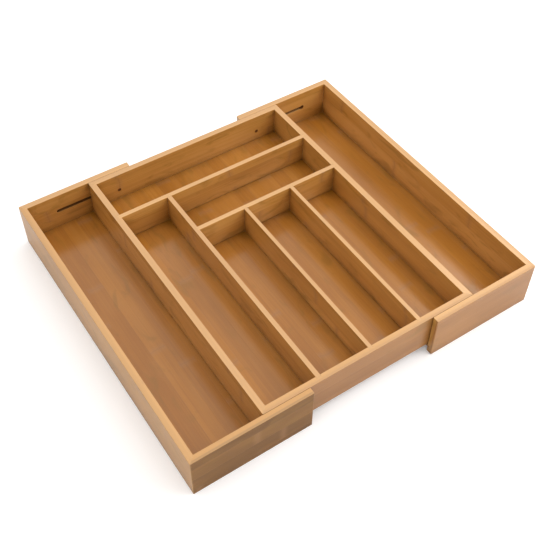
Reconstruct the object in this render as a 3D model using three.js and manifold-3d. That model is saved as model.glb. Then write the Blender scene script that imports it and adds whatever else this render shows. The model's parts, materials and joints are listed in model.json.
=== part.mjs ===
import * as THREE from 'three';
import { mergeVertices } from 'three/addons/utils/BufferGeometryUtils.js';
import Module from 'manifold-3d';

// Expanding drawer organizer insert made of flat bamboo boards.
// A fixed middle box with six compartments stands on the floors of two trays. Each tray is a
// three-sided frame with a floor: its front and back walls lap outside the middle box, its floor
// runs under it, and it slides sideways on two guide pins that ride in blind grooves.
// Millimetres, +X to the right, +Y to the back, +Z up. The trays are shown pulled fully out, and
// the origin is the centre of the footprint on the drawer floor.

// Driving dimensions
const OVERALL_DEPTH = 430;
const OVERALL_HEIGHT = 63.5;
const WALL = 8;
const DIVIDER = 6;
const THIN_DIVIDER = 5;
const PANEL = 4;
const COMPARTMENT = 65;
const TRAVEL = 84;
const SLIDE_GAP = 0.5;
const CLOSED_TRAY_GAP = 3.5;

// Joinery
const FIT = 0.2;
const HOUSING = 3;
const SHALLOW_HOUSING = 1.5;
const GROOVE = 4;
const TRAY_LIP = 7.5;
const BOX_LIP = 6.8;

// Guide pins and the grooves they ride in
const PIN_RADIUS = 2;
const PIN_INSET = 38;
const PIN_RECESS = 1;
const PIN_REACH = 4;
const PIN_TIP_CHAMFER = 0.5;
const SLOT_HALF_HEIGHT = 2.3;
const SLOT_DEPTH = 5;
const ROUND_SEGMENTS = 24;

// Worked-out sizes of the middle box
const BOX_DEPTH = OVERALL_DEPTH - 2 * (WALL + SLIDE_GAP);
const BOX_INNER_WIDTH = 4 * COMPARTMENT + DIVIDER + 2 * THIN_DIVIDER;
const BOX_WIDTH = BOX_INNER_WIDTH + 2 * WALL;
const BOX_BASE = TRAY_LIP + PANEL + SLIDE_GAP;
const BOX_HEIGHT = OVERALL_HEIGHT - BOX_BASE;
const BOX_LEFT = -BOX_WIDTH / 2;
const BOX_FRONT = -BOX_DEPTH / 2;
const DIVIDER_BASE = BOX_BASE + BOX_LIP + PANEL + FIT;
const DIVIDER_HEIGHT = OVERALL_HEIGHT - DIVIDER_BASE;

// Worked-out sizes of the trays
const CLOSED_WIDTH = BOX_WIDTH + 2 * (WALL + SLIDE_GAP);
const OVERALL_WIDTH = CLOSED_WIDTH + 2 * TRAVEL;
const TRAY_WIDTH = (CLOSED_WIDTH - CLOSED_TRAY_GAP) / 2;
const TRAY_OUTER_X = OVERALL_WIDTH / 2;
const PIN_HEIGHT = BOX_BASE + BOX_HEIGHT / 2;
const SLOT_START = WALL + SLIDE_GAP + PIN_INSET;
const SLOT_END = SLOT_START + TRAVEL;

// Centre lines of the dividers
const LEFT_DIVIDER_X = BOX_LEFT + WALL + COMPARTMENT + DIVIDER / 2;
const CENTER_LEFT_X = LEFT_DIVIDER_X + DIVIDER / 2 + COMPARTMENT + THIN_DIVIDER / 2;
const CENTER_RIGHT_X = CENTER_LEFT_X + THIN_DIVIDER + COMPARTMENT;
const REAR_CROSS_Y = BOX_DEPTH / 2 - WALL - COMPARTMENT - DIVIDER / 2;
const MIDDLE_CROSS_Y = REAR_CROSS_Y - COMPARTMENT - DIVIDER;

const wasm = await Module();
wasm.setup();

function toSolid( geometry ) {

	const bare = geometry.clone();
	bare.deleteAttribute( 'normal' );
	bare.deleteAttribute( 'uv' );
	const merged = mergeVertices( bare, 1e-4 );
	const vertProperties = new Float32Array( merged.attributes.position.array );
	const triVerts = new Uint32Array( merged.index.array );
	return new wasm.Manifold( new wasm.Mesh( { numProp: 3, vertProperties, triVerts } ) );

}

function toGeometry( solid ) {

	const mesh = solid.getMesh();
	const geometry = new THREE.BufferGeometry();
	geometry.setAttribute( 'position', new THREE.BufferAttribute( mesh.vertProperties, 3 ) );
	geometry.setIndex( new THREE.BufferAttribute( mesh.triVerts, 1 ) );
	geometry.computeVertexNormals();
	return geometry;

}

function cut( geometry, cutters ) {

	let solid = toSolid( geometry );
	for ( const cutter of cutters ) solid = solid.subtract( toSolid( cutter ) );
	return toGeometry( solid );

}

// A box given by its lowest corner and its size.
function block( corner, size ) {

	const centre = corner.map( ( low, axis ) => low + size[ axis ] / 2 );
	return new THREE.BoxGeometry( ...size ).translate( ...centre );

}

// The upright housing for a divider's end in the inner face of a box wall, open at the top and
// running down into the floor panel's groove.
function housing( along, thickness ) {

	const width = thickness + 2 * FIT;
	const bottom = BOX_LIP + PANEL / 2;
	const corner = [ along - width / 2, WALL - HOUSING, bottom ];
	return block( corner, [ width, HOUSING + 1, BOX_HEIGHT - bottom + 1 ] );

}

// A round-ended slot seen along Y, sunk into a board's inner face.
function slotCutter( start, end, height, depth ) {

	const outline = new THREE.Shape();
	outline.absarc( end, height, SLOT_HALF_HEIGHT, - Math.PI / 2, Math.PI / 2 );
	outline.absarc( start, height, SLOT_HALF_HEIGHT, Math.PI / 2, 3 * Math.PI / 2 );
	const options = { depth: depth + 1, bevelEnabled: false, curveSegments: ROUND_SEGMENTS / 2 };
	const geometry = new THREE.ExtrudeGeometry( outline, options );
	geometry.rotateX( Math.PI / 2 );
	return geometry.translate( 0, WALL + 1, 0 );

}

function pinHoleCutter( along, height ) {

	const radius = PIN_RADIUS + FIT;
	const geometry = new THREE.CylinderGeometry( radius, radius, WALL + 2, ROUND_SEGMENTS );
	return geometry.translate( along, WALL / 2, height );

}

// A wall board lying along +X with its outer face at y = 0 and its base at z = 0. It has the groove
// that holds the floor panel, and its ends are mitred or square.
function wall( { length, height, lip, mitreStart = false, mitreEnd = false, cutters = [] } ) {

	const grooveBottom = lip - FIT;
	const grooveTop = lip + PANEL + FIT;
	const section = new THREE.Shape();
	section.moveTo( 0, 0 );
	section.lineTo( WALL, 0 );
	section.lineTo( WALL, grooveBottom );
	section.lineTo( WALL - GROOVE, grooveBottom );
	section.lineTo( WALL - GROOVE, grooveTop );
	section.lineTo( WALL, grooveTop );
	section.lineTo( WALL, height );
	section.lineTo( 0, height );
	section.closePath();

	const geometry = new THREE.ExtrudeGeometry( section, { depth: length, bevelEnabled: false } );
	const across = new THREE.Vector3( 0, 1, 0 );
	const up = new THREE.Vector3( 0, 0, 1 );
	const along = new THREE.Vector3( 1, 0, 0 );
	geometry.applyMatrix4( new THREE.Matrix4().makeBasis( across, up, along ) );

	const position = geometry.attributes.position;
	for ( let i = 0; i < position.count; i ++ ) {

		const inward = position.getY( i );
		const atStart = position.getX( i ) < length / 2;
		if ( atStart && mitreStart ) position.setX( i, inward + FIT );
		if ( ! atStart && mitreEnd ) position.setX( i, length - inward - FIT );

	}

	return cut( geometry, cutters );

}

function bamboo( color ) {

	return new THREE.MeshStandardMaterial( { color, roughness: 0.55, metalness: 0 } );

}

function piece( name, geometry, material ) {

	const mesh = new THREE.Mesh( geometry, material );
	mesh.name = name;
	return mesh;

}

// Turns a wall board so that its outer face looks to the named side, and puts its outer corner there.
const FACING = { front: 0, right: Math.PI / 2, back: Math.PI, left: - Math.PI / 2 };

function placeWall( mesh, side, x, y, z ) {

	mesh.position.set( x, y, z );
	mesh.rotation.z = FACING[ side ];
	return mesh;

}

function makeMiddleBox() {

	const box = new THREE.Group();
	const endToEnd = { height: BOX_HEIGHT, lip: BOX_LIP, mitreStart: true, mitreEnd: true };
	const pinPlaces = [ PIN_INSET, BOX_WIDTH - PIN_INSET ];
	const pinHoles = pinPlaces.map( ( along ) => pinHoleCutter( along, PIN_HEIGHT - BOX_BASE ) );

	const frontCutters = [
		housing( LEFT_DIVIDER_X - BOX_LEFT, DIVIDER ),
		housing( CENTER_LEFT_X - BOX_LEFT, THIN_DIVIDER ),
		housing( CENTER_RIGHT_X - BOX_LEFT, THIN_DIVIDER ),
		...pinHoles
	];
	const front = wall( { ...endToEnd, length: BOX_WIDTH, cutters: frontCutters } );
	const back = wall( { ...endToEnd, length: BOX_WIDTH, cutters: pinHoles } );

	const leftCutters = [ housing( - BOX_FRONT - REAR_CROSS_Y, DIVIDER ) ];
	const rightCutters = [ REAR_CROSS_Y, MIDDLE_CROSS_Y ].map( ( y ) => housing( y - BOX_FRONT, DIVIDER ) );
	const left = wall( { ...endToEnd, length: BOX_DEPTH, cutters: leftCutters } );
	const right = wall( { ...endToEnd, length: BOX_DEPTH, cutters: rightCutters } );

	const frontWall = piece( 'main_front_wall', front, bamboo( 0xc9a06c ) );
	const backWall = piece( 'main_back_wall', back, bamboo( 0xc29a66 ) );
	const leftWall = piece( 'main_left_wall', left, bamboo( 0xc59c69 ) );
	const rightWall = piece( 'main_right_wall', right, bamboo( 0xcba371 ) );
	box.add( placeWall( frontWall, 'front', BOX_LEFT, BOX_FRONT, BOX_BASE ) );
	box.add( placeWall( backWall, 'back', - BOX_LEFT, - BOX_FRONT, BOX_BASE ) );
	box.add( placeWall( leftWall, 'left', BOX_LEFT, - BOX_FRONT, BOX_BASE ) );
	box.add( placeWall( rightWall, 'right', - BOX_LEFT, BOX_FRONT, BOX_BASE ) );
	box.add( makeBoxPanel() );
	makeDividers().forEach( ( divider ) => box.add( divider ) );
	makeGuidePins().forEach( ( pin ) => box.add( pin ) );
	return box;

}

function makeBoxPanel() {

	const inset = WALL - GROOVE + FIT;
	const width = BOX_WIDTH - 2 * inset;
	const depth = BOX_DEPTH - 2 * inset;
	const panel = block( [ - width / 2, - depth / 2, BOX_BASE + BOX_LIP ], [ width, depth, PANEL ] );
	return piece( 'main_bottom_panel', panel, bamboo( 0xb98650 ) );

}

// A cross divider from the end of one housing to the end of another. Its front face has a shallow
// housing at each place where a lengthwise divider meets it.
function crossDivider( name, startX, endX, y, meetings ) {

	const front = y - DIVIDER / 2;
	const board = block( [ startX, front, DIVIDER_BASE ], [ endX - startX, DIVIDER, DIVIDER_HEIGHT ] );
	const cutters = meetings.map( ( { x, thickness } ) => {

		const width = thickness + 2 * FIT;
		const corner = [ x - width / 2, front - 1, DIVIDER_BASE - 1 ];
		return block( corner, [ width, SHALLOW_HOUSING + 1, DIVIDER_HEIGHT + 2 ] );

	} );
	return piece( name, cut( board, cutters ), bamboo( 0xc79e6b ) );

}

// The full-length divider on the left, with a shallow housing in its right-hand face.
function makeLeftDivider( startY, endY ) {

	const corner = [ LEFT_DIVIDER_X - DIVIDER / 2, startY, DIVIDER_BASE ];
	const board = block( corner, [ DIVIDER, endY - startY, DIVIDER_HEIGHT ] );
	const width = DIVIDER + 2 * FIT;
	const notchX = LEFT_DIVIDER_X + DIVIDER / 2 - SHALLOW_HOUSING;
	const notchCorner = [ notchX, MIDDLE_CROSS_Y - width / 2, DIVIDER_BASE - 1 ];
	const notch = block( notchCorner, [ SHALLOW_HOUSING + 1, width, DIVIDER_HEIGHT + 2 ] );
	return piece( 'left_long_divider', cut( board, [ notch ] ), bamboo( 0xcaa26f ) );

}

function makeThinDivider( name, x, startY, endY ) {

	const corner = [ x - THIN_DIVIDER / 2, startY, DIVIDER_BASE ];
	const board = block( corner, [ THIN_DIVIDER, endY - startY, DIVIDER_HEIGHT ] );
	return piece( name, board, bamboo( 0xcaa26f ) );

}

function makeDividers() {

	const leftEnd = BOX_LEFT + WALL - HOUSING + FIT;
	const frontEnd = BOX_FRONT + WALL - HOUSING + FIT;
	const intoFace = DIVIDER / 2 - SHALLOW_HOUSING + FIT;
	const middleStart = LEFT_DIVIDER_X + intoFace;
	const atRearCross = REAR_CROSS_Y - intoFace;
	const atMiddleCross = MIDDLE_CROSS_Y - intoFace;
	const onRear = [ { x: LEFT_DIVIDER_X, thickness: DIVIDER } ];
	const onMiddle = [ CENTER_LEFT_X, CENTER_RIGHT_X ].map( ( x ) => ( { x, thickness: THIN_DIVIDER } ) );
	return [
		crossDivider( 'rear_cross_divider', leftEnd, - leftEnd, REAR_CROSS_Y, onRear ),
		crossDivider( 'middle_cross_divider', middleStart, - leftEnd, MIDDLE_CROSS_Y, onMiddle ),
		makeLeftDivider( frontEnd, atRearCross ),
		makeThinDivider( 'center_left_divider', CENTER_LEFT_X, frontEnd, atMiddleCross ),
		makeThinDivider( 'center_right_divider', CENTER_RIGHT_X, frontEnd, atMiddleCross )
	];

}

// A steel pin that starts just below the box wall's inner face and ends inside the tray's groove.
function makeGuidePins() {

	const length = WALL - PIN_RECESS + SLIDE_GAP + PIN_REACH;
	const outline = [
		[ 0, 0 ],
		[ PIN_RADIUS, 0 ],
		[ PIN_RADIUS, length - PIN_TIP_CHAMFER ],
		[ PIN_RADIUS - PIN_TIP_CHAMFER, length ],
		[ 0, length ]
	].map( ( [ radius, along ] ) => new THREE.Vector2( radius, along ) );
	const pins = [];
	for ( const [ sideName, sideSign ] of [ [ 'left', - 1 ], [ 'right', 1 ] ] ) {

		for ( const [ endName, endSign ] of [ [ 'front', - 1 ], [ 'back', 1 ] ] ) {

			const steel = new THREE.MeshStandardMaterial( { color: 0x6b5a45, roughness: 0.4, metalness: 0.8 } );
			const body = new THREE.LatheGeometry( outline, ROUND_SEGMENTS );
			const pin = piece( `${ sideName }_${ endName }_guide_pin`, body, steel );
			const x = sideSign * ( BOX_WIDTH / 2 - PIN_INSET );
			const y = endSign * ( BOX_DEPTH / 2 - WALL + PIN_RECESS );
			pin.position.set( x, y, PIN_HEIGHT );
			pin.rotation.z = endSign > 0 ? 0 : Math.PI;
			pins.push( pin );

		}

	}

	return pins;

}

function makeTray( name, side ) {

	const tray = new THREE.Group();
	const common = { height: OVERALL_HEIGHT, lip: TRAY_LIP };
	const outerX = side * TRAY_OUTER_X;
	const half = OVERALL_DEPTH / 2;
	const isLeft = side < 0;

	// Front and back walls run from the side wall towards the middle, with the groove for the pin
	// measured from the tray's outer face.
	const lapping = ( mitreAtStart ) => {

		const [ start, end ] = mitreAtStart
			? [ SLOT_START, SLOT_END ]
			: [ TRAY_WIDTH - SLOT_END, TRAY_WIDTH - SLOT_START ];
		const slot = slotCutter( start, end, PIN_HEIGHT, SLOT_DEPTH );
		const mitres = { mitreStart: mitreAtStart, mitreEnd: ! mitreAtStart };
		return wall( { ...common, ...mitres, length: TRAY_WIDTH, cutters: [ slot ] } );

	};

	const sideWall = wall( { ...common, length: OVERALL_DEPTH, mitreStart: true, mitreEnd: true } );
	const frontX = isLeft ? outerX : outerX - TRAY_WIDTH;
	const backX = frontX + TRAY_WIDTH;
	const frontWall = piece( `${ name }_front_wall`, lapping( isLeft ), bamboo( 0xc39b6a ) );
	const backWall = piece( `${ name }_back_wall`, lapping( ! isLeft ), bamboo( 0xbf9662 ) );
	const endWall = piece( `${ name }_side_wall`, sideWall, bamboo( 0xcaa473 ) );
	tray.add( placeWall( endWall, isLeft ? 'left' : 'right', outerX, isLeft ? half : - half, 0 ) );
	tray.add( placeWall( frontWall, 'front', frontX, - half, 0 ) );
	tray.add( placeWall( backWall, 'back', backX, half, 0 ) );

	const inset = WALL - GROOVE + FIT;
	const panelX = isLeft ? outerX + inset : frontX;
	const panelSize = [ TRAY_WIDTH - inset, OVERALL_DEPTH - 2 * inset, PANEL ];
	const panel = block( [ panelX, - half + inset, TRAY_LIP ], panelSize );
	tray.add( piece( `${ name }_bottom_panel`, panel, bamboo( 0xb88551 ) ) );
	return tray;

}

const organizer = new THREE.Group();
organizer.add( makeMiddleBox() );
organizer.add( makeTray( 'left_tray', - 1 ) );
organizer.add( makeTray( 'right_tray', 1 ) );

export default organizer;
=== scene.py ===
"""Expanding bamboo drawer organizer: eased and mitred boards, grooves, pins and a bamboo material."""
import json
import math

import bpy
import bmesh
from mathutils import Matrix, Vector


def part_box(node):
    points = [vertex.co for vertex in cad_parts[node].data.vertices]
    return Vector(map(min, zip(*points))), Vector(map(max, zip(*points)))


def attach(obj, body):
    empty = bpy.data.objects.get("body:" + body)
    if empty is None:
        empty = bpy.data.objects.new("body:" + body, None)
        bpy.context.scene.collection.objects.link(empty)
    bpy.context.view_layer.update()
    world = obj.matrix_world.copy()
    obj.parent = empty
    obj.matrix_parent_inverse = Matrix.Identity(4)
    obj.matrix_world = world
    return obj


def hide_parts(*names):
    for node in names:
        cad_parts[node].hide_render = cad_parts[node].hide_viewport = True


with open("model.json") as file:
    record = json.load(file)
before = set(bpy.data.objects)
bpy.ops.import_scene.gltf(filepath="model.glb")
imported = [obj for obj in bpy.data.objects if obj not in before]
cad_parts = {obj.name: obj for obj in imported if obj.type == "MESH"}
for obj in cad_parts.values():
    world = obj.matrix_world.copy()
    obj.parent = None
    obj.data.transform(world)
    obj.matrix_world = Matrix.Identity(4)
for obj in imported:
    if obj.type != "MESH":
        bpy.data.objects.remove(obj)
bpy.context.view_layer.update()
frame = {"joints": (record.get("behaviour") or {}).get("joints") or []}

MM = 0.001

# Camera: where it looks, from which side, and how far back it stands. The angles are in degrees
AIM = Vector((0.0212, 0.0204, 0.0048))
AZIMUTH = -34.26
ELEVATION = 48.30
ROLL = 0.74
DISTANCE = 1.170
LENS = 59.02
SENSOR = 36.0
SHIFT_Y = -0.045
CLIP_END = 50

# Board details
TOP_EASE = 0.35 * MM
FOOT_EASE = 0.6 * MM
CORNER_EASE = 1.2 * MM
END_EASE = 1.1 * MM
ARC_STEPS = 4
STATION_STEP = 30 * MM
MITRE_GAP = 0.04 * MM
HOUSING_FIT = 0.05 * MM
STRIP_WIDTH = 21 * MM
FLOOR_STRIP_WIDTH = 20 * MM
CRISP_ANGLE = math.radians(32)
MERGE_DISTANCE = 1e-6
FLATNESS = 80

# The CAD's clearance between glued boards, and how much thicker the tray walls are here than there
FIT = 0.2 * MM
SNUG = 0.3 * MM

# Holes and grooves: how far a cutter reaches past the face it opens, and the steps of a half circle
OVERCUT = 2 * MM
HALF_ROUND_STEPS = 16
GROOVE_DEPTH_IN_RADII = 2.5
GROOVE_CLEARANCE = 1.5 * FIT
KEYHOLE = 1.35
# How far a slot's painted shade reaches past its edge
SLOT_SHADE_MARGIN = 0.1 * MM
PIN_STEPS = 32


# ---------------------------------------------------------------- measures taken from the frame

def span(node, axis):
    """Lowest and highest place of a node along one axis."""
    low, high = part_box(node)
    return low[axis], high[axis]


def size(node, axis):
    low, high = span(node, axis)
    return high - low


def middle(node, axis):
    return sum(span(node, axis)) / 2


DIVIDERS_ALONG = ["left_long_divider", "center_left_divider", "center_right_divider"]
CROSS_DIVIDERS = ["rear_cross_divider", "middle_cross_divider"]
PINS = [f"{side}_{end}_guide_pin" for side in ("left", "right") for end in ("front", "back")]
TRAVEL = max(abs(value) for joint in frame["joints"] for value in joint["range_m"])
PIN_RADIUS = size(PINS[0], 0) / 2
PIN_Z = middle(PINS[0], 2)
WALL = size("main_left_wall", 0)


# ---------------------------------------------------------------- meshes

def new_object(name, mesh):
    piece = bpy.data.objects.new(name, mesh)
    bpy.context.scene.collection.objects.link(piece)
    return piece


def eased_corner(centre, start_angle, ease):
    """Points of a quarter circle round a section's corner, turning anticlockwise."""
    points = []
    for step in range(ARC_STEPS + 1):
        angle = start_angle + math.pi / 2 * step / ARC_STEPS
        points.append((centre[0] + ease * math.cos(angle), centre[1] + ease * math.sin(angle)))
    return points


def board_section(thickness, height, groove):
    """A board's section as (depth, height) points: eased edges and, where given, the panel groove."""
    foot, top = FOOT_EASE, TOP_EASE
    points = eased_corner((foot, foot), math.pi, foot)
    points += eased_corner((thickness - foot, foot), 1.5 * math.pi, foot)
    if groove:
        low, high, depth = groove
        floor = thickness - depth
        points += [(thickness, low), (floor, low), (floor, high), (thickness, high)]
    points += eased_corner((thickness - top, height - top), 0, top)
    points += eased_corner((top, height - top), math.pi / 2, top)
    return points


def end_rings(kind, thickness):
    """How the section changes from a board's end inwards: functions from (depth, height) to
    (distance from the end, depth, height). A mitred end is eased round the corner it forms."""
    rings = []
    if kind == "mitre":
        for step in range(ARC_STEPS + 1):
            angle = math.pi / 4 * (1 - step / ARC_STEPS)
            skew = CORNER_EASE * (math.cos(angle) - math.sin(angle))
            inset = CORNER_EASE * (1 - math.cos(angle))

            def mitred(depth, height, skew=skew, inset=inset):
                depth = max(depth, inset)
                return MITRE_GAP + depth + skew, depth, height

            rings.append(mitred)
    elif kind == "eased":
        for step in range(ARC_STEPS + 1):
            angle = math.pi / 2 * step / ARC_STEPS
            place = END_EASE * (1 - math.cos(angle))
            inset = END_EASE * (1 - math.sin(angle))

            def eased(depth, height, place=place, inset=inset):
                return place, min(max(depth, inset), thickness - inset), max(height, inset)

            rings.append(eased)
    else:
        rings.append(lambda depth, height: (0.0, depth, height))
    return rings


def board_mesh(name, length, thickness, height, ends=("square", "square"), groove=None):
    """A board along x with its outer face at y = 0 and its foot at z = 0."""
    section = board_section(thickness, height, groove)
    margin = thickness + 2 * CORNER_EASE
    count = max(2, round((length - 2 * margin) / STATION_STEP))
    stations = []
    for ring in end_rings(ends[0], thickness):
        stations.append([ring(*point) for point in section])
    for step in range(count + 1):
        x = margin + (length - 2 * margin) * step / count
        stations.append([(x, *point) for point in section])
    for ring in reversed(end_rings(ends[1], thickness)):
        moved = [ring(*point) for point in section]
        stations.append([(length - x, y, z) for x, y, z in moved])

    build = bmesh.new()
    rows = [[build.verts.new(point) for point in station] for station in stations]
    for row, following in zip(rows, rows[1:]):
        for index in range(len(section)):
            after = (index + 1) % len(section)
            build.faces.new((row[index], following[index], following[after], row[after]))
    build.faces.new(rows[0])
    build.faces.new(list(reversed(rows[-1])))
    bmesh.ops.recalc_face_normals(build, faces=build.faces)
    mesh = bpy.data.meshes.new(name)
    build.to_mesh(mesh)
    build.free()
    return mesh


def block_mesh(name, low, high):
    build = bmesh.new()
    bmesh.ops.create_cube(build, size=1)
    for vertex in build.verts:
        vertex.co = Vector([low[i] if vertex.co[i] < 0 else high[i] for i in range(3)])
    mesh = bpy.data.meshes.new(name)
    build.to_mesh(mesh)
    build.free()
    return mesh


def slot_mesh(name, start, end, height, radius, low, high):
    """A round-ended slot along x, sunk along y from low to high. start == end gives a round hole."""
    steps = HALF_ROUND_STEPS
    outline = []
    for centre, turn in ((end, -math.pi / 2), (start, math.pi / 2)):
        for step in range(steps + 1):
            angle = turn + math.pi * step / steps
            if start == end and step == steps:
                continue
            outline.append((centre + radius * math.cos(angle), height + radius * math.sin(angle)))
    build = bmesh.new()
    near = [build.verts.new((x, low, z)) for x, z in outline]
    far = [build.verts.new((x, high, z)) for x, z in outline]
    for index in range(len(outline)):
        after = (index + 1) % len(outline)
        build.faces.new((near[index], near[after], far[after], far[index]))
    build.faces.new(near)
    build.faces.new(far)
    bmesh.ops.recalc_face_normals(build, faces=build.faces)
    mesh = bpy.data.meshes.new(name)
    build.to_mesh(mesh)
    build.free()
    return mesh


def cut(piece, cutters):
    """Cuts the meshes out of the piece and keeps the result as its mesh."""
    helpers = []
    for index, cutter in enumerate(cutters):
        helper = new_object(f"{piece.name}_cutter_{index}", cutter)
        modifier = piece.modifiers.new("cut", "BOOLEAN")
        modifier.operation = "DIFFERENCE"
        modifier.solver = "EXACT"
        modifier.object = helper
        helpers.append(helper)
    if helpers:
        graph = bpy.context.evaluated_depsgraph_get()
        result = bpy.data.meshes.new_from_object(piece.evaluated_get(graph))
        piece.modifiers.clear()
        piece.data = result
    for helper in helpers:
        mesh = helper.data
        bpy.data.objects.remove(helper)
        bpy.data.meshes.remove(mesh)


def smooth_by_angle(piece):
    """Smooth shading that stays crisp at arrises, with large faces kept flat."""
    build = bmesh.new()
    build.from_mesh(piece.data)
    bmesh.ops.remove_doubles(build, verts=build.verts, dist=MERGE_DISTANCE)
    for face in build.faces:
        face.smooth = True
    for edge in build.edges:
        edge.smooth = len(edge.link_faces) == 2 and edge.calc_face_angle(0) < CRISP_ANGLE
    build.to_mesh(piece.data)
    build.free()
    weighted = piece.modifiers.new("flat faces", "WEIGHTED_NORMAL")
    weighted.keep_sharp = True
    weighted.weight = FLATNESS


# ---------------------------------------------------------------- materials

class Nodes:
    """Short ways to add and join shader nodes. Any input may be a number or another socket."""

    def __init__(self, name):
        self.material = bpy.data.materials.new(name)
        self.material.use_nodes = True
        self.tree = self.material.node_tree
        self.shader = self.tree.nodes["Principled BSDF"]

    def put(self, socket, value):
        if isinstance(value, bpy.types.NodeSocket):
            self.tree.links.new(value, socket)
        else:
            socket.default_value = value

    def add(self, kind, inputs=None, **settings):
        node = self.tree.nodes.new(kind)
        for key, value in settings.items():
            setattr(node, key, value)
        for key, value in (inputs or {}).items():
            self.put(node.inputs[key], value)
        return node

    def math(self, operation, a, b=0.0, c=0.0):
        node = self.add("ShaderNodeMath", {0: a, 1: b, 2: c}, operation=operation)
        return node.outputs[0]

    def step(self, value, low, high, to_low=0.0, to_high=1.0):
        inputs = {"Value": value, "From Min": low, "From Max": high, "To Min": to_low, "To Max": to_high}
        node = self.add("ShaderNodeMapRange", inputs, interpolation_type="SMOOTHSTEP")
        return node.outputs[0]

    def scaled(self, vector, scale, offset=(0, 0, 0)):
        inputs = {"Vector": vector, "Scale": scale, "Location": offset}
        return self.add("ShaderNodeMapping", inputs).outputs[0]

    def noise(self, vector, detail=4.0, roughness=0.55, distortion=0.0):
        inputs = {"Vector": vector, "Scale": 1.0, "Detail": detail, "Roughness": roughness}
        inputs["Distortion"] = distortion
        return self.add("ShaderNodeTexNoise", inputs).outputs[0]

    def blend(self, factor, a, b, mode="MIX"):
        node = self.add("ShaderNodeMix", data_type="RGBA", blend_type=mode)
        self.put(node.inputs[0], factor)
        self.put(node.inputs[6], a)
        self.put(node.inputs[7], b)
        return node.outputs[2]

    def mix(self, factor, a, b):
        inputs = {0: factor, 2: a, 3: b}
        return self.add("ShaderNodeMix", inputs, data_type="FLOAT").outputs[0]


LIGHT_BAMBOO = (0.600, 0.345, 0.105, 1)
MID_BAMBOO = (0.500, 0.268, 0.068, 1)
DARK_BAMBOO = (0.350, 0.168, 0.036, 1)

# Tints that multiply those colours. The outside, front and front-left tints are painted shade that
# darkens outer faces: the front faces more, the left tray's front most
INSIDE = (1.12, 1.03, 0.92)
OUTSIDE_SHADE = (0.81, 0.71, 0.52)
FRONT_SHADE = (0.64, 0.50, 0.43)
FRONT_LEFT_SHADE = (0.33, 0.27, 0.18)
FLOOR = (0.80, 0.575, 0.22)

# How much the lacquer mirrors; boards that get handled are rubbed duller
SHINE = 0.75
AMBER = (1.0, 0.86, 0.73, 1)
OUTSIDE_SHINE = 0.40
FRONT_SHINE = 0.45
FRONT_LEFT_SHINE = 0.15

# Colours that wear, stains and the wood's own figure lay over the bamboo, with a painted highlight on
# upward faces, painted shade in corners, hollows and slots, and dark rings round the pin holes
BLUSH = (0.47, 0.22, 0.06, 1)
PLY_ENDS = (0.36, 0.20, 0.06, 1)
STREAK = (0.30, 0.135, 0.03, 1)
STAIN = (0.24, 0.120, 0.02, 1)
NODE_BAND = (0.36, 0.18, 0.075, 1)
NODE_RIDGE = (0.24, 0.11, 0.045, 1)
GLUE_SEAM = (0.30, 0.16, 0.07, 1)
# Painted highlight on upward faces
TOP_HIGHLIGHT = (0.66, 0.40, 0.21, 1)
WORN_ARRIS = (0.68, 0.47, 0.24, 1)
# Painted shade in the inner corners and seams
CORNER_SHADE = (0.20, 0.095, 0.035, 1)
# Painted shade in the deep corners of the compartments
HOLLOW_SHADE = (0.15, 0.058, 0.002, 1)
# Painted shade inside the routed slots
SLOT_SHADE = (0.14, 0.055, 0.012, 1)
# A dark ring laid round each pin hole
PIN_RING = (0.19, 0.055, 0.004, 1)

# How strongly each of them shows
STREAK_AMOUNT = 0.24
STAIN_AMOUNT = 0.42
BAND_AMOUNT = 0.34
RIDGE_AMOUNT = 0.16
SEAM_AMOUNT = 0.16
TOP_HIGHLIGHT_AMOUNT = 0.55
ARRIS_AMOUNT = 0.30
CORNER_SHADE_AMOUNT = 0.36
HOLLOW_SHADE_AMOUNT = 0.85
SLOT_SHADE_AMOUNT = 0.75
PIN_RING_AMOUNT = 0.75

# Sizes of the figure, the wear, the painted shade and the rings round the pin holes
NODE_SPACING = 0.27
NODE_BEND = 0.012
BAND_WIDTH = 8 * MM
WORN_RADIUS = 1.6 * MM
CORNER_SHADE_REACH = 4 * MM
HOLLOW_SHADE_REACH = 24 * MM
PIN_RING_RADII = (1.55, 1.15)

# Lacquer: its roughness, and the relief that shows through it
ROUGHNESS = 0.13
GRAIN_ROUGHNESS = 0.12
OUTSIDE_WEAR = 0.16
RELIEF_STRENGTH = 0.55
RELIEF_DEPTH = 0.05 * MM

RUST_LIGHT = (0.24, 0.095, 0.020, 1)
RUST_DARK = (0.13, 0.045, 0.010, 1)


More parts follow.
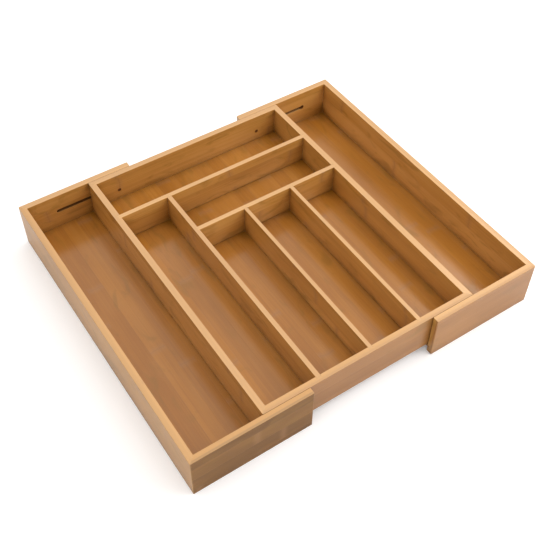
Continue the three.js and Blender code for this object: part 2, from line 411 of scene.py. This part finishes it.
def bamboo(name, seed, thickness, strip, tone=0.0, warmth=0.0, inside=INSIDE, outside=INSIDE,
           shine=SHINE, routed=None, drilled=()):
    """Lacquered three-ply bamboo board. In the piece's own space x runs along the grain, y through
    the thickness and z across the strips. The middle ply lies crosswise, so its end grain shows on
    the board's edges."""
    n = Nodes(name)
    place = n.add("ShaderNodeTexCoord").outputs["Object"]
    x, y, z = n.add("ShaderNodeSeparateXYZ", {0: place}).outputs[:3]

    # Strips glued side by side, each with its own tone and its own place for the culm's nodes
    across = n.math("ADD", n.math("DIVIDE", z, strip), 0.37 + 0.211 * seed)
    index = n.math("FLOOR", across)
    key = n.add("ShaderNodeCombineXYZ", {0: index, 1: 1.7 * seed, 2: 0.0}).outputs[0]
    chance = n.add("ShaderNodeTexWhiteNoise", {"Vector": key}, noise_dimensions="3D").outputs["Color"]
    strip_tone, strip_shift, strip_warmth = n.add("ShaderNodeSeparateColor", {0: chance}).outputs[:3]
    in_strip = n.math("FRACT", across)
    to_seam = n.math("MULTIPLY", n.math("MINIMUM", in_strip, n.math("SUBTRACT", 1.0, in_strip)), strip)
    seam = n.step(to_seam, 0.35 * MM, 0.05 * MM)

    # Which ply: 1 in the crosswise middle one
    from_middle = n.math("ABSOLUTE", n.math("SUBTRACT", n.math("DIVIDE", y, thickness), 0.5))
    cross_ply = n.step(from_middle, 0.19, 0.155)

    # Fibres: long in the grain's direction, fine across it
    shift = (3.1 * seed, 7.7 * seed, 1.3 * seed)
    long_fibres = n.noise(n.scaled(place, (7, 650, 650), shift), 5.0, 0.62)
    cross_fibres = n.noise(n.scaled(place, (620, 620, 9), shift), 5.0, 0.62)
    fibres = n.mix(cross_ply, long_fibres, cross_fibres)
    bundles = n.noise(n.scaled(place, (16, 1500, 1500), shift), 2.0, 0.5)
    bundles = n.step(bundles, 0.60, 0.72)
    clouds = n.noise(n.scaled(place, (6, 34, 34), shift), 3.0, 0.5, 0.4)
    drift = n.math("SUBTRACT", clouds, 0.5)
    face_ply = n.math("SUBTRACT", 1.0, cross_ply)

    # Nodes of the culm: a thin dark ridge line in a soft darker band, bent a little by noise
    bend = n.math("MULTIPLY", drift, NODE_BEND)
    along = n.math("ADD", n.math("DIVIDE", n.math("ADD", x, bend), NODE_SPACING), strip_shift)
    off = n.math("SUBTRACT", n.math("FRACT", n.math("ADD", along, 0.31 * seed)), 0.5)
    off = n.math("MULTIPLY", n.math("ABSOLUTE", off), NODE_SPACING)
    band = n.math("MULTIPLY", n.step(off, BAND_WIDTH, 0.0), face_ply)
    ridge = n.math("MULTIPLY", n.step(off, 1.4 * MM, 0.5 * MM), face_ply)

    # Colour
    level = n.math("MULTIPLY_ADD", n.math("SUBTRACT", fibres, 0.5), 1.0, 0.52 + tone)
    level = n.math("MULTIPLY_ADD", n.math("SUBTRACT", strip_tone, 0.5), 0.42, level)
    level = n.math("MULTIPLY_ADD", drift, 1.1, level)
    level = n.math("MULTIPLY_ADD", bundles, -0.13, level)
    ramp = n.add("ShaderNodeValToRGB", {0: level})
    stops = ramp.color_ramp.elements
    stops[0].position, stops[0].color = 0.0, DARK_BAMBOO
    stops[1].position, stops[1].color = 1.0, LIGHT_BAMBOO
    stops.new(0.55).color = MID_BAMBOO
    # Outer faces get their own tint; on walls it is painted shade, darker than the inside
    outer_ply = n.step(n.math("DIVIDE", y, thickness), 0.42, 0.34)
    tint = n.blend(outer_ply, (*inside, 1), (*outside, 1))
    colour = n.blend(1.0, ramp.outputs[0], tint, "MULTIPLY")
    stains = n.noise(n.scaled(place, (20, 52, 52), shift), 3.0, 0.5, 1.2)
    stains = n.math("MULTIPLY", n.step(stains, 0.54, 0.72), face_ply)
    blush = n.noise(n.scaled(place, (11, 48, 48), shift), 2.0, 0.5)
    warm = n.math("MULTIPLY_ADD", strip_warmth, 0.14, warmth)
    warm = n.math("MULTIPLY_ADD", n.step(blush, 0.45, 0.65), 0.12, warm)
    colour = n.blend(warm, colour, BLUSH)
    colour = n.blend(n.math("MULTIPLY", cross_ply, 0.32), colour, PLY_ENDS)
    streaks = n.noise(n.scaled(place, (9, 210, 210), shift), 3.0, 0.6, 0.3)
    streaks = n.math("MULTIPLY", n.step(streaks, 0.60, 0.74), face_ply)
    colour = n.blend(n.math("MULTIPLY", streaks, STREAK_AMOUNT), colour, STREAK)
    colour = n.blend(n.math("MULTIPLY", stains, STAIN_AMOUNT), colour, STAIN)
    colour = n.blend(n.math("MULTIPLY", band, BAND_AMOUNT), colour, NODE_BAND)
    colour = n.blend(n.math("MULTIPLY", ridge, RIDGE_AMOUNT), colour, NODE_RIDGE)
    colour = n.blend(n.math("MULTIPLY", seam, SEAM_AMOUNT), colour, GLUE_SEAM)

    # Arrises rubbed paler by wear; upward faces painted paler as a highlight; inner corners and hollows
    # darkened as painted shade
    # Painted highlight: faces that look upwards are painted paler, standing in for the light from above
    up = n.add("ShaderNodeSeparateXYZ", {0: n.add("ShaderNodeTexCoord").outputs["Normal"]}).outputs["Z"]
    top = n.step(up, 0.6, 0.95)
    colour = n.blend(n.math("MULTIPLY", top, TOP_HIGHLIGHT_AMOUNT), colour, TOP_HIGHLIGHT)
    rounded = n.add("ShaderNodeBevel", {"Radius": WORN_RADIUS}, samples=4).outputs[0]
    true_normal = n.add("ShaderNodeNewGeometry").outputs["True Normal"]
    agree = n.add("ShaderNodeVectorMath", {0: rounded, 1: true_normal}, operation="DOT_PRODUCT")
    arris = n.step(agree.outputs["Value"], 0.995, 0.90)
    rub = n.noise(n.scaled(place, (45, 160, 160), shift), 3.0, 0.6)
    arris = n.math("MULTIPLY", arris, n.step(rub, 0.35, 0.65, 0.25, 1.0))
    colour = n.blend(n.math("MULTIPLY", arris, ARRIS_AMOUNT), colour, WORN_ARRIS)
    # Painted shade: darkened where other surfaces lie within a few millimetres, in inner corners, seams
    # and gaps
    nook = n.add("ShaderNodeAmbientOcclusion", {"Distance": CORNER_SHADE_REACH}, samples=6).outputs["AO"]
    corner_shade = n.step(nook, 0.75, 0.10)
    colour = n.blend(n.math("MULTIPLY", corner_shade, CORNER_SHADE_AMOUNT), colour, CORNER_SHADE)
    # Painted shade: darkened where other surfaces lie within about 24 mm, most where three faces meet
    hollow_shade = n.add("ShaderNodeAmbientOcclusion", {"Distance": HOLLOW_SHADE_REACH}, samples=6)
    hollow_shade = n.step(n.math("MULTIPLY_ADD", drift, 0.5, hollow_shade.outputs["AO"]), 0.66, 0.22)
    colour = n.blend(n.math("MULTIPLY", hollow_shade, HOLLOW_SHADE_AMOUNT), colour, HOLLOW_SHADE)
    if routed:
        # Painted shade in the slot: everything within the routed box, below the board's face, is
        # darkened
        x_low, x_high, z_low, z_high = routed
        below = (y, 0.3 * thickness, thickness - 0.08 * MM)
        slot_shade = SLOT_SHADE_AMOUNT
        for value, low, high in ((x, x_low, x_high), below, (z, z_low, z_high)):
            slot_shade = n.math("MULTIPLY", slot_shade, n.math("GREATER_THAN", value, low))
            slot_shade = n.math("MULTIPLY", slot_shade, n.math("LESS_THAN", value, high))
        colour = n.blend(slot_shade, colour, SLOT_SHADE)
    flat = n.add("ShaderNodeCombineXYZ", {0: x, 1: 0.0, 2: z}).outputs[0]
    for hole_x, hole_z in drilled:
        # A darker ring painted round each pin hole
        ends = {0: flat, 1: (hole_x, 0, hole_z)}
        away = n.add("ShaderNodeVectorMath", ends, operation="DISTANCE").outputs["Value"]
        spot = n.step(away, *(ring * PIN_RADIUS for ring in PIN_RING_RADII))
        colour = n.blend(n.math("MULTIPLY", spot, PIN_RING_AMOUNT), colour, PIN_RING)
    n.put(n.shader.inputs["Base Color"], colour)

    # Lacquer: satin, a little duller in the grain and where it is rubbed
    rough = n.math("MULTIPLY_ADD", fibres, GRAIN_ROUGHNESS, ROUGHNESS)
    rough = n.math("MULTIPLY_ADD", outer_ply, 0.0 if outside == inside else OUTSIDE_WEAR, rough)
    rough = n.math("MULTIPLY_ADD", arris, 0.10, rough)
    rough = n.math("MULTIPLY_ADD", corner_shade, 0.20, rough)
    n.put(n.shader.inputs["Roughness"], rough)
    n.shader.inputs["Specular IOR Level"].default_value = shine
    n.shader.inputs["Specular Tint"].default_value = AMBER

    height = n.math("MULTIPLY_ADD", bundles, -0.5, fibres)
    height = n.math("MULTIPLY_ADD", seam, -1.6, height)
    height = n.math("MULTIPLY_ADD", ridge, 1.2, height)
    relief = {"Height": height, "Strength": RELIEF_STRENGTH, "Distance": RELIEF_DEPTH}
    bump = n.add("ShaderNodeBump", relief)
    n.put(n.shader.inputs["Normal"], bump.outputs[0])
    return n.material


def pin_steel():
    """Steel under a rust-brown finish, with turning marks round the pin and stains."""
    n = Nodes("pin_steel")
    place = n.add("ShaderNodeTexCoord").outputs["Object"]
    stains = n.noise(n.scaled(place, (900, 900, 900)), 4.0, 0.6)
    marks = n.noise(n.scaled(place, (300, 9000, 300)), 2.0, 0.5)
    colour = n.blend(n.step(stains, 0.4, 0.65), RUST_LIGHT, RUST_DARK)
    n.put(n.shader.inputs["Base Color"], colour)
    n.shader.inputs["Metallic"].default_value = 0.35
    n.put(n.shader.inputs["Roughness"], n.step(stains, 0.3, 0.7, 0.38, 0.62))
    bump = n.add("ShaderNodeBump", {"Height": marks, "Strength": 0.4, "Distance": 0.03 * MM})
    n.put(n.shader.inputs["Normal"], bump.outputs[0])
    return n.material


# ---------------------------------------------------------------- placing boards

# Each facing turns a board so that its outer face (y = 0) looks to that side
FACINGS = {"front": 0.0, "right": math.pi / 2, "back": math.pi, "left": -math.pi / 2}
piece_count = 0


def finish_piece(piece, node, body, material):
    smooth_by_angle(piece)
    piece.data.materials.clear()
    piece.data.materials.append(material)
    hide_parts(node)
    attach(piece, body)


def next_seed():
    global piece_count
    piece_count += 1
    return piece_count


def wall_start(node, facing):
    """The corner where a board's own x starts: low x, outer face, foot."""
    low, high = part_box(node)
    corners = {
        "front": (low[0], low[1]),
        "right": (high[0], low[1]),
        "back": (high[0], high[1]),
        "left": (low[0], high[1]),
    }
    return Vector((*corners[facing], low[2]))


def along_wall(node, facing, point):
    """How far along the board's own x a place in the frame lies."""
    start = wall_start(node, facing)
    direction = Vector((math.cos(FACINGS[facing]), math.sin(FACINGS[facing]), 0))
    return (Vector(point) - start).dot(direction)


# A wall's outer face gets the outer faces' painted shade unless given another
def wall(node, facing, body, ends, panel, cutters=(), tone=0.0, warmth=0.0, outside=OUTSIDE_SHADE,
         shine=OUTSIDE_SHINE, routed=None, drilled=()):
    """A wall board with its floor groove, in place of a CAD node."""
    run_axis = 0 if facing in ("front", "back") else 1
    thickness = size(node, 1 - run_axis)
    height = size(node, 2)
    if body != "main_box":
        thickness += SNUG
    foot = span(node, 2)[0]
    mitres = [end == "mitre" for end in ends]
    # The CAD board stops short of each mitred corner by the fit, and this one runs on to it
    length = size(node, run_axis) + FIT * sum(mitres)
    panel_low, panel_high = span(panel, 2)
    groove = (panel_low - foot - FIT, panel_high - foot + FIT, thickness / 2)
    mesh = board_mesh(node, length, thickness, height, ends, groove)
    piece = new_object(f"{node}_board", mesh)
    cut(piece, cutters)
    start = wall_start(node, facing)
    angle = FACINGS[facing]
    if mitres[0]:
        start -= FIT * Vector((math.cos(angle), math.sin(angle), 0))
    piece.matrix_world = Matrix.Translation(start) @ Matrix.Rotation(angle, 4, "Z")
    material = bamboo(f"bamboo_{node}", next_seed(), thickness, STRIP_WIDTH, tone, warmth, INSIDE,
                      outside, shine, routed, drilled)
    finish_piece(piece, node, body, material)


def housing_mesh(node, facing, divider, floor_top):
    """The housing in a box wall for one end of a divider."""
    start_z = span(node, 2)[0]
    run_axis = 0 if facing in ("front", "back") else 1
    centre = [0, 0, 0]
    centre[run_axis] = middle(divider, run_axis)
    along = along_wall(node, facing, centre) + FIT
    half = size(divider, run_axis) / 2 + HOUSING_FIT
    reach = housing_depth(node, facing, divider)
    low = (along - half, WALL - reach, floor_top - start_z - OVERCUT / 2)
    high = (along + half, WALL + OVERCUT, size(node, 2) + OVERCUT)
    return block_mesh("housing", low, high)


def housing_depth(node, facing, divider):
    """How far a divider's end runs into a wall, with a hair of clearance."""
    across = 1 if facing in ("front", "back") else 0
    node_low, node_high = span(node, across)
    end_low, end_high = span(divider, across)
    overlap = min(node_high, end_high) - max(node_low, end_low)
    return overlap + HOUSING_FIT


def make_box_walls():
    floor_top = span("main_bottom_panel", 2)[1]
    ends = ("mitre", "mitre")
    # The main front wall's outside gets the front faces' painted shade, the back wall's the outer faces'
    # painted shade
    plans = {
        "front": ("main_front_wall", DIVIDERS_ALONG, 0.0, 0.02, FRONT_SHADE, FRONT_SHINE),
        "back": ("main_back_wall", [], 0.22, 0.04, OUTSIDE_SHADE, SHINE),
        "left": ("main_left_wall", ["rear_cross_divider"], 0.03, 0.0, INSIDE, SHINE),
        "right": ("main_right_wall", CROSS_DIVIDERS, 0.0, 0.04, INSIDE, SHINE),
    }
    for facing, (node, dividers, tone, warmth, outside, shine) in plans.items():
        cutters = [housing_mesh(node, facing, divider, floor_top) for divider in dividers]
        drilled = []
        if facing in ("front", "back"):
            foot = span(node, 2)[0]
            for pin in (p for p in PINS if facing in p):
                along = along_wall(node, facing, (middle(pin, 0), 0, 0)) + FIT
                cutters.append(slot_mesh("hole", along, along, PIN_Z - foot, PIN_RADIUS + FIT,
                                         -OVERCUT, WALL + OVERCUT))
                drilled.append((along, PIN_Z - foot))
        wall(node, facing, "main_box", ends, "main_bottom_panel", cutters, tone, warmth, outside,
             shine, drilled=drilled)


def make_tray_walls():
    for side in ("left", "right"):
        body = f"{side}_tray"
        panel = f"{body}_bottom_panel"
        tone, shine = (0.18, SHINE) if side == "right" else (0.0, OUTSIDE_SHINE)
        wall(f"{body}_side_wall", side, body, ("mitre", "mitre"), panel, tone=tone, shine=shine)
        for facing in ("front", "back"):
            node = f"{body}_{facing}_wall"
            starts_at_corner = (side == "left") == (facing == "front")
            ends = ("mitre", "eased") if starts_at_corner else ("eased", "mitre")
            pin_x = middle(f"{side}_{facing}_guide_pin", 0)
            outwards = -TRAVEL if side == "left" else TRAVEL
            # The pin rests at the groove's inner end while the tray is pulled out
            inner = along_wall(node, facing, (pin_x, 0, 0))
            outer = along_wall(node, facing, (pin_x + outwards, 0, 0))
            if starts_at_corner:
                inner, outer = inner + FIT, outer + FIT
            start, end = sorted((inner, outer))
            floor_y, face_y = WALL - GROOVE_DEPTH_IN_RADII * PIN_RADIUS, WALL + OVERCUT
            reach = PIN_RADIUS + GROOVE_CLEARANCE
            slots = [slot_mesh("slot", start, end, PIN_Z, reach, floor_y, face_y)]
            if side == "right":
                # The wider hole at the groove's outer end, where the pin is put in
                reach *= KEYHOLE
                slots.append(slot_mesh("keyhole", outer, outer, PIN_Z, reach, floor_y, face_y))
                start = end = outer
            # The slot's painted shade reaches a hair past its edge
            reach += SLOT_SHADE_MARGIN
            routed = (start - reach, end + reach, PIN_Z - reach, PIN_Z + reach)
            # Outer faces get painted shade, the front faces darker and the left tray's front darkest
            tone, outside, shine = 0.0, OUTSIDE_SHADE, SHINE
            if facing == "front":
                outside, shine = FRONT_SHADE, FRONT_SHINE
            if node == "left_tray_front_wall":
                tone, outside, shine = -0.10, FRONT_LEFT_SHADE, FRONT_LEFT_SHINE
            wall(node, facing, body, ends, panel, slots, tone, 0.03, outside, shine, routed)


def divider(node, run_axis, notches, tone):
    """A divider board, with its own x along it. notches are the dividers that meet its face."""
    low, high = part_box(node)
    length = high[run_axis] - low[run_axis]
    thickness = high[1 - run_axis] - low[1 - run_axis]
    height = high[2] - low[2]
    mesh = board_mesh(node, length, thickness, height)
    piece = new_object(f"{node}_board", mesh)
    cutters = []
    for other in notches:
        centre = middle(other, run_axis) - low[run_axis]
        half = size(other, run_axis) / 2 + HOUSING_FIT
        if run_axis == 0:
            reach = span(other, 1)[1] - low[1] + HOUSING_FIT
        else:
            reach = high[0] - span(other, 0)[0] + HOUSING_FIT
        cutters.append(block_mesh("notch", (centre - half, -OVERCUT, -OVERCUT),
                                  (centre + half, reach, height + OVERCUT)))
    cut(piece, cutters)
    if run_axis == 0:
        piece.matrix_world = Matrix.Translation(low)
    else:
        # A lengthwise board is turned a quarter to the left, so that its y points to -X
        corner = Vector((high[0], low[1], low[2]))
        piece.matrix_world = Matrix.Translation(corner) @ Matrix.Rotation(math.pi / 2, 4, "Z")
    material = bamboo(f"bamboo_{node}", next_seed(), thickness, STRIP_WIDTH, tone)
    finish_piece(piece, node, "main_box", material)


def make_dividers():
    divider("rear_cross_divider", 0, ["left_long_divider"], 0.02)
    divider("middle_cross_divider", 0, ["center_left_divider", "center_right_divider"], 0.16)
    divider("left_long_divider", 1, ["middle_cross_divider"], -0.18)
    divider("center_left_divider", 1, [], -0.02)
    divider("center_right_divider", 1, [], 0.04)


def floor_panel(node, body, tone):
    """A floor panel of strips that run front to back. Its own x runs to the back, y up, z right."""
    low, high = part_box(node)
    thickness = high[2] - low[2]
    mesh = board_mesh(node, high[1] - low[1], thickness, high[0] - low[0])
    piece = new_object(f"{node}_strips", mesh)
    axes = Matrix(((0, 0, 1, 0), (1, 0, 0, 0), (0, 1, 0, 0), (0, 0, 0, 1)))
    piece.matrix_world = Matrix.Translation(low) @ axes
    material = bamboo(f"bamboo_{node}", next_seed(), thickness, FLOOR_STRIP_WIDTH,
                      tone, 0.15, FLOOR, FLOOR)
    finish_piece(piece, node, body, material)


def make_pins():
    """Turned pins: a slightly domed head end in the recess, a relief ring and a chamfered tip."""
    steel = pin_steel()
    radius = PIN_RADIUS
    for node in PINS:
        low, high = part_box(node)
        length = high[1] - low[1]
        outline = [
            (0, 0), (0.45 * radius, 0.02 * radius), (0.8 * radius, 0.10 * radius),
            (radius, 0.30 * radius), (radius, 0.55 * length), (0.92 * radius, 0.57 * length),
            (0.92 * radius, 0.60 * length), (radius, 0.62 * length),
            (radius, length - 0.25 * radius), (0.75 * radius, length), (0, length),
        ]
        build = bmesh.new()
        rows = []
        for r, along in outline:
            if r == 0:
                rows.append([build.verts.new((0, along, 0))])
                continue
            row = []
            for step in range(PIN_STEPS):
                angle = 2 * math.pi * step / PIN_STEPS
                row.append(build.verts.new((r * math.cos(angle), along, r * math.sin(angle))))
            rows.append(row)
        for row, following in zip(rows, rows[1:]):
            for step in range(PIN_STEPS):
                after = (step + 1) % PIN_STEPS
                ring = [row[step % len(row)], row[after % len(row)]]
                ring += [following[after % len(following)], following[step % len(following)]]
                build.faces.new(list(dict.fromkeys(ring)))
        bmesh.ops.recalc_face_normals(build, faces=build.faces)
        mesh = bpy.data.meshes.new(node)
        build.to_mesh(mesh)
        build.free()
        piece = new_object(f"{node}_turned", mesh)
        at_back = "back" in node
        place = Vector((middle(node, 0), low[1] if at_back else high[1], PIN_Z))
        turn = 0.0 if at_back else math.pi
        piece.matrix_world = Matrix.Translation(place) @ Matrix.Rotation(turn, 4, "Z")
        finish_piece(piece, node, "main_box", steel)


# ---------------------------------------------------------------- camera, floor and light

FLOOR_REACH = 100.0
FLOOR_WHITE = (0.94, 0.94, 0.95, 1)
FLOOR_GLOW = 0.15
SKY_WHITE = (1.0, 0.99, 0.97, 1)

# The sky's strength against the height of the direction, as two parts that are added: brightest
# overhead and falling off downwards, and a pale band where the floor ends. Each is its kind of
# curve, the heights where it starts and ends, and its strength at each
SKY_PARTS = (("LINEAR", 0.0, 1.0, 0.06, 1.62), ("SMOOTHSTEP", 0.03, 0.09, 0.90, 0.0))

# Name, direction from the middle of the floor, distance, width and power
LIGHTS = (
    ("key", (0.95, 0.15, 1.0), 1.9, 1.1, 6),
    ("front_fill", (0.75, -0.70, 0.75), 1.4, 0.9, 5.5),
    ("left_fill", (-1.0, 0.30, 0.22), 1.9, 1.0, 0.5),
)


def make_camera():
    azimuth, elevation, roll = (math.radians(v) for v in (AZIMUTH, ELEVATION, ROLL))
    back = Vector((math.sin(azimuth) * math.cos(elevation), -math.cos(azimuth) * math.cos(elevation),
                   math.sin(elevation)))
    right = Vector((math.cos(azimuth), math.sin(azimuth), 0))
    up = back.cross(right)
    cos_roll, sin_roll = math.cos(roll), math.sin(roll)
    right, up = right * cos_roll + up * sin_roll, up * cos_roll - right * sin_roll
    data = bpy.data.cameras.new("camera")
    data.sensor_width = SENSOR
    data.lens = LENS
    data.shift_y = SHIFT_Y
    data.clip_end = CLIP_END
    camera = new_object("camera", data)
    turn = Matrix((right, up, back)).transposed()
    camera.matrix_world = Matrix.Translation(AIM + back * DISTANCE) @ turn.to_4x4()
    bpy.context.scene.camera = camera


def area_light(name, direction, distance, width, power):
    data = bpy.data.lights.new(name, "AREA")
    data.shape = "DISK"
    data.size = width
    data.energy = power
    light = new_object(name, data)
    direction = Vector(direction).normalized()
    light.location = direction * distance
    light.rotation_mode = "QUATERNION"
    light.rotation_quaternion = direction.to_track_quat("Z", "Y")


def make_studio():
    floor_mesh = bpy.data.meshes.new("studio_floor")
    reach = FLOOR_REACH
    corners = [(-reach, -reach, 0), (reach, -reach, 0), (reach, reach, 0), (-reach, reach, 0)]
    floor_mesh.from_pydata(corners, [], [(0, 1, 2, 3)])
    floor = new_object("studio_floor", floor_mesh)
    n = Nodes("studio_floor")
    n.shader.inputs["Base Color"].default_value = FLOOR_WHITE
    n.shader.inputs["Roughness"].default_value = 0.8
    n.shader.inputs["Specular IOR Level"].default_value = 0.1
    # Lit a little from below like a light table, which keeps the shadows pale
    n.shader.inputs["Emission Color"].default_value = (1, 1, 1, 1)
    n.shader.inputs["Emission Strength"].default_value = FLOOR_GLOW
    floor.data.materials.append(n.material)

    world = bpy.data.worlds.new("studio")
    world.use_nodes = True
    tree = world.node_tree
    background = tree.nodes["Background"]
    background.inputs["Color"].default_value = SKY_WHITE
    toward = tree.nodes.new("ShaderNodeTexCoord")
    split = tree.nodes.new("ShaderNodeSeparateXYZ")
    tree.links.new(toward.outputs["Generated"], split.inputs[0])
    total = tree.nodes.new("ShaderNodeMath")
    for slot, (kind, low, high, at_low, at_high) in enumerate(SKY_PARTS):
        part = tree.nodes.new("ShaderNodeMapRange")
        part.interpolation_type = kind
        for index, value in enumerate((low, high, at_low, at_high), start=1):
            part.inputs[index].default_value = value
        tree.links.new(split.outputs["Z"], part.inputs["Value"])
        tree.links.new(part.outputs[0], total.inputs[slot])
    tree.links.new(total.outputs[0], background.inputs["Strength"])
    bpy.context.scene.world = world

    for light in LIGHTS:
        area_light(*light)

    scene = bpy.context.scene
    scene.view_settings.view_transform = "Standard"
    scene.view_settings.look = "None"


make_camera()
make_studio()
make_box_walls()
make_tray_walls()
make_dividers()
floor_panel("main_bottom_panel", "main_box", -0.10)
floor_panel("left_tray_bottom_panel", "left_tray", -0.24)
floor_panel("right_tray_bottom_panel", "right_tray", -0.10)
make_pins()
